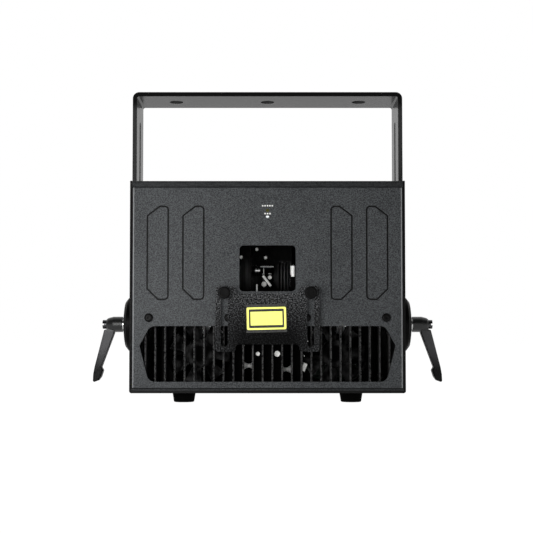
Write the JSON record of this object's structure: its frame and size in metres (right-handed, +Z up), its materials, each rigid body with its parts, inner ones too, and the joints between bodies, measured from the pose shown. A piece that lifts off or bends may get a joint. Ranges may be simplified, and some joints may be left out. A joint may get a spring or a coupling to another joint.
{
  "type": "laser show projector",
  "caption": "Show laser projector: box case with a scanner window, a sliding aperture mask, a slatted fan vent, rubber feet and a slotted U yoke held by clamping levers.",
  "frame": {"origin": "on the floor, below the middle of the projector", "axes": "+Z up, the front panel faces -Y, +X to the right seen from the front"},
  "size_m": [0.3306, 0.26, 0.2862],
  "materials": {
    "case_paint": "fine black powder coat",
    "grille_paint": "satin black paint",
    "yoke_paint": "satin black paint",
    "mask_paint": "coarse black crinkle coat",
    "label": "yellow and black printed film",
    "black_screw": "black oxide steel",
    "lever_plastic": "moulded dark grey",
    "disc_plastic": "semi-gloss black",
    "steel": "bright",
    "lever_screw_steel": "dark",
    "rubber": "black",
    "glass": "clear coated",
    "lamp": "clear lens",
    "mirror": "polished",
    "black_aluminium": "black anodised",
    "aluminium": "milled",
    "board": "green laminate",
    "fan_plastic": "moulded black",
    "socket_plastic": "moulded black",
    "plated": "plated"
  },
  "bodies": {
    "case": {"case_shell": "case_paint", "top_lid": "case_paint", "front_panel": "case_paint", "front_screws": "black_screw", "vent_grille": "grille_paint", "window_glass": "glass", "window_retainer": "black_aluminium", "status_lamps": "lamp", "lamp_board": "board", "rubber_feet": "rubber", "pivot_studs": "steel", "mask_spacers": "black_screw", "lower_galvo": "black_aluminium", "upper_galvo": "black_aluminium", "scanner_block": "black_aluminium", "optical_bench": "aluminium", "bench_posts": "aluminium", "bench_stays": "aluminium", "heat_sink": "aluminium", "red_laser_module": "black_aluminium", "green_laser_module": "black_aluminium", "blue_laser_module": "black_aluminium", "combiner_bases": "black_aluminium", "combiner_mirrors": "mirror", "galvo_drivers": "aluminium", "power_supply": "aluminium", "control_board": "board", "fan_bracket": "grille_paint", "fan_frames": "fan_plastic", "rear_panel": "case_paint", "rear_screws": "black_screw", "mains_inlet": "socket_plastic", "inlet_pins": "plated", "signal_socket": "plated", "network_socket": "socket_plastic", "key_switch": "plated"},
    "pivot_discs": {"left_pivot_disc": "disc_plastic", "right_pivot_disc": "disc_plastic", "arm_washers": "disc_plastic"},
    "yoke": {"yoke": "yoke_paint"},
    "mask": {"aperture_mask": "mask_paint", "mask_plate": "label"},
    "lower_mirror": {"lower_mirror": "mirror", "lower_mirror_mount": "steel"},
    "upper_mirror": {"upper_mirror": "mirror", "upper_mirror_mount": "steel"},
    "key": {"key": "steel"},
    "left_insert": {"left_lever_insert": "steel", "left_lever_screw": "lever_screw_steel", "left_lever_spring": "steel"},
    "left_handle": {"left_lever_handle": "lever_plastic"},
    "left_thumb": {"left_thumb_screw": "black_screw"},
    "left_rotor": {"left_fan_rotor": "fan_plastic"},
    "right_insert": {"right_lever_insert": "steel", "right_lever_screw": "lever_screw_steel", "right_lever_spring": "steel"},
    "right_handle": {"right_lever_handle": "lever_plastic"},
    "right_thumb": {"right_thumb_screw": "black_screw"},
    "right_rotor": {"right_fan_rotor": "fan_plastic"}
  },
  "joints": [
    {"name": "yoke_tilt", "type": "hinge", "parent": "case", "child": "pivot_discs", "pos_m": [0, -0.028, 0.0692], "axis": [1, 0, 0], "continuous": true},
    {"name": "yoke_height", "type": "slide", "parent": "pivot_discs", "child": "yoke", "axis": [0, 0, 1], "range_m": [-0.02, 0]},
    {"name": "mask_slide", "type": "slide", "parent": "case", "child": "mask", "axis": [0, 0, 1], "range_m": [0, 0.0436]},
    {"name": "lower_mirror_scan", "type": "hinge", "parent": "case", "child": "lower_mirror", "pos_m": [-0.0006, -0.06, 0.1087], "axis": [0, 1, 0], "range_deg": [-12.5, 12.5]},
    {"name": "upper_mirror_scan", "type": "hinge", "parent": "case", "child": "upper_mirror", "pos_m": [-0.0006, -0.06, 0.1187], "axis": [1, 0, 0], "range_deg": [-12.5, 12.5]},
    {"name": "key_turn", "type": "hinge", "parent": "case", "child": "key", "pos_m": [0.092, 0.115, 0.0445], "axis": [0, 1, 0], "range_deg": [0, 90]},
    {"name": "left_lever_turn", "type": "hinge", "parent": "case", "child": "left_insert", "pos_m": [-0.1358, -0.028, 0.0692], "axis": [1, 0, 0], "range_deg": [-90, 90]},
    {"name": "left_lever_pull", "type": "slide", "parent": "left_insert", "child": "left_handle", "axis": [-1, 0, 0], "range_m": [0, 0.0025], "stiffness_N_per_m": 1200, "springref_m": -0.004, "deforming": ["left_lever_spring"]},
    {"name": "left_thumb_turn", "type": "hinge", "parent": "case", "child": "left_thumb", "pos_m": [-0.0373, -0.115, 0.0953], "axis": [0, -1, 0], "range_deg": [0, 360]},
    {"name": "left_fan_spin", "type": "hinge", "parent": "case", "child": "left_rotor", "pos_m": [-0.06, -0.09, 0.0425], "axis": [0, -1, 0], "continuous": true},
    {"name": "right_lever_turn", "type": "hinge", "parent": "case", "child": "right_insert", "pos_m": [0.1358, -0.028, 0.0692], "axis": [1, 0, 0], "range_deg": [-90, 90]},
    {"name": "right_lever_pull", "type": "slide", "parent": "right_insert", "child": "right_handle", "axis": [1, 0, 0], "range_m": [0, 0.0025], "stiffness_N_per_m": 1200, "springref_m": -0.004, "deforming": ["right_lever_spring"]},
    {"name": "right_thumb_turn", "type": "hinge", "parent": "case", "child": "right_thumb", "pos_m": [0.0373, -0.115, 0.0953], "axis": [0, -1, 0], "range_deg": [0, 360]},
    {"name": "right_fan_spin", "type": "hinge", "parent": "case", "child": "right_rotor", "pos_m": [0.06, -0.09, 0.0425], "axis": [0, -1, 0], "continuous": true}
  ]
}
